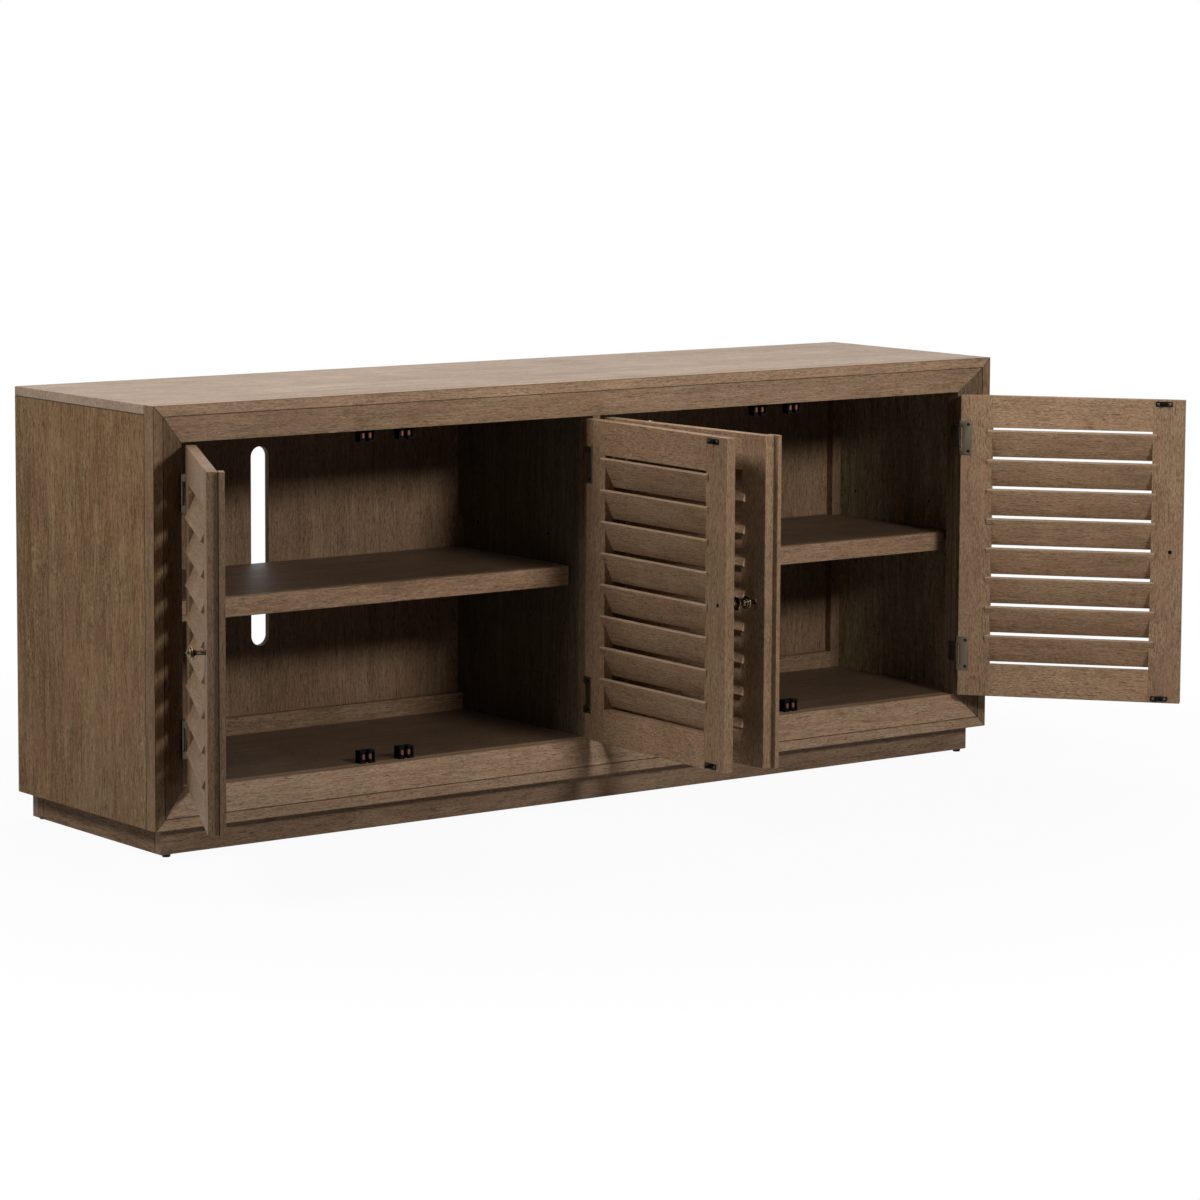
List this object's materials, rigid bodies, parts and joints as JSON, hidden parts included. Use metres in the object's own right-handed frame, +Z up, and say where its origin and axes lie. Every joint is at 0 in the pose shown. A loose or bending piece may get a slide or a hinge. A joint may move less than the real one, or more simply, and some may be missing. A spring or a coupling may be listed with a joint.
{
  "type": "tv console",
  "caption": "Low louvred media console: bevelled front frame on a recessed plinth, pairs of hinged doors over shelved halves with cable ways at the back.",
  "frame": {"origin": "on the floor, under the middle of the case, at the underside of the glides", "axes": "+X along the length, to the right seen from the front; +Y from the doors to the back; +Z up"},
  "size_m": [2.1866, 0.8725, 0.752],
  "materials": {
    "case_oak": "brown-grey stained oak veneer, open grain, matt",
    "top_oak": "lighter weathered oak veneer, matt",
    "inner_oak": "brown-grey stained oak veneer, matt",
    "plain_wood": "unfinished softwood",
    "door_oak": "brown-grey stained oak, open grain, matt",
    "satin_steel": "satin",
    "aged_knob": "aged dark metal, soft shine",
    "strike_steel": "black",
    "black_plastic": "matt",
    "roller_copper": "reddish, satin",
    "glide_plastic": "matt"
  },
  "bodies": {
    "case": {"top_panel": "top_oak", "left_side_panel": "case_oak", "right_side_panel": "case_oak", "bottom_panel": "inner_oak", "center_divider": "inner_oak", "center_stile": "case_oak", "back_panel": "inner_oak", "back_battens": "inner_oak", "back_cleats": "inner_oak", "band_rails": "case_oak", "band_stiles": "case_oak", "bevel_rails": "case_oak", "bevel_stiles": "case_oak", "hidden_rails": "plain_wood", "plinth_long_boards": "case_oak", "plinth_end_boards": "case_oak", "plinth_brace": "plain_wood", "floor_glides": "glide_plastic", "left_shelf": "inner_oak", "right_shelf": "inner_oak", "shelf_lips": "case_oak", "shelf_pins": "satin_steel", "catch_housings": "black_plastic", "catch_rollers": "roller_copper", "hinge_frame_leaves": "satin_steel"},
    "outer_left_door": {"outer_left_hinge_stile": "door_oak", "outer_left_free_stile": "door_oak", "outer_left_rails": "door_oak", "outer_left_louvers": "door_oak", "outer_left_knob": "aged_knob", "outer_left_hinge_leaves": "satin_steel", "outer_left_strikes": "strike_steel", "outer_left_astragal": "door_oak"},
    "inner_left_door": {"inner_left_hinge_stile": "door_oak", "inner_left_free_stile": "door_oak", "inner_left_rails": "door_oak", "inner_left_louvers": "door_oak", "inner_left_knob": "aged_knob", "inner_left_hinge_leaves": "satin_steel", "inner_left_strikes": "strike_steel"},
    "inner_right_door": {"inner_right_hinge_stile": "door_oak", "inner_right_free_stile": "door_oak", "inner_right_rails": "door_oak", "inner_right_louvers": "door_oak", "inner_right_knob": "aged_knob", "inner_right_hinge_leaves": "satin_steel", "inner_right_strikes": "strike_steel", "inner_right_astragal": "door_oak"},
    "outer_right_door": {"outer_right_hinge_stile": "door_oak", "outer_right_free_stile": "door_oak", "outer_right_rails": "door_oak", "outer_right_louvers": "door_oak", "outer_right_knob": "aged_knob", "outer_right_hinge_leaves": "satin_steel", "outer_right_strikes": "strike_steel"}
  },
  "joints": [
    {"name": "outer_left_hinge", "type": "hinge", "parent": "case", "child": "outer_left_door", "pos_m": [-0.8525, -0.2155, 0.401], "axis": [0, 0, -1], "range_deg": [-117, 43]},
    {"name": "inner_left_hinge", "type": "hinge", "parent": "case", "child": "inner_left_door", "pos_m": [-0.006, -0.2155, 0.401], "axis": [0, 0, 1], "range_deg": [-87.5, 0]},
    {"name": "inner_right_hinge", "type": "hinge", "parent": "case", "child": "inner_right_door", "pos_m": [0.006, -0.2155, 0.401], "axis": [0, 0, -1], "range_deg": [-86.51, 0]},
    {"name": "outer_right_hinge", "type": "hinge", "parent": "case", "child": "outer_right_door", "pos_m": [0.8525, -0.2155, 0.401], "axis": [0, 0, 1], "range_deg": [-130, 30]}
  ]
}
